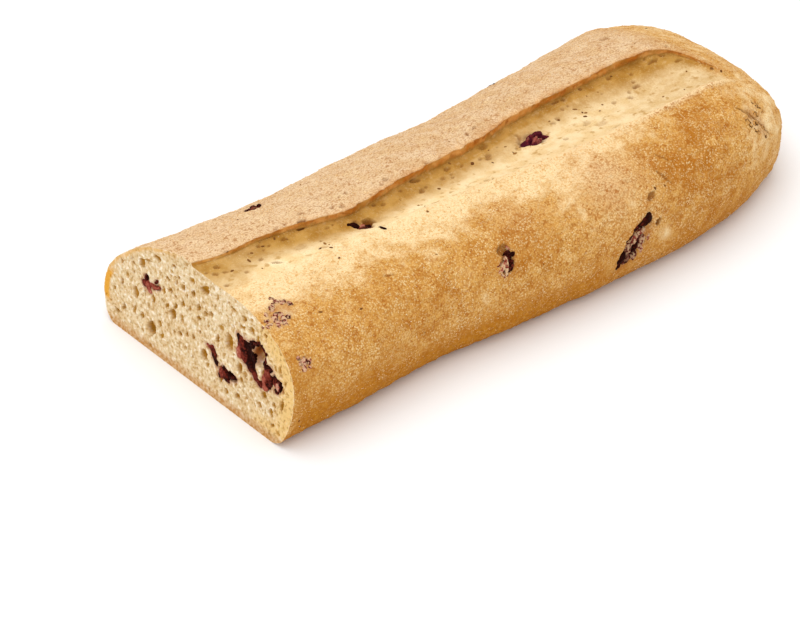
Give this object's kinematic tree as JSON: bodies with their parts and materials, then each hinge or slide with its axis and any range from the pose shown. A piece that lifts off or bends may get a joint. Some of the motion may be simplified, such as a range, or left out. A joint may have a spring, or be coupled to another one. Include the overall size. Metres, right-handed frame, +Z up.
{
  "type": "gluten-free olive ciabatta loaf",
  "caption": "Long flat loaf with one end sliced off, a lengthwise slash with a raised lip, and olive pieces in the crust and the cut.",
  "frame": {"origin": "under the middle of the loaf's box, on the surface that it lies on", "axes": "+X along the loaf from the cut to the round end, +Z up"},
  "size_m": [0.2448, 0.1058, 0.0426],
  "materials": {
    "crust": "baked golden crust with flour and fine grain, cream crumb with pores at the cut",
    "olive": "moist dark purple olive flesh and skin"
  },
  "bodies": {
    "root": {"loaf": "crust", "olive_cut_crescent": "olive", "olive_cut_skin": "olive", "olive_cut_wedge": "olive", "olive_cut_crumb": "olive", "olive_cut_low": "olive", "olive_cut_sliver": "olive", "olive_cut_far": "olive", "olive_slash_front": "olive", "olive_slash_rear": "olive", "olive_near_large": "olive", "olive_near_small": "olive", "olive_near_flush": "olive", "olive_near_speck": "olive", "olive_end_flush": "olive", "olive_far_front": "olive", "olive_far_rear": "olive"}
  },
  "joints": []
}
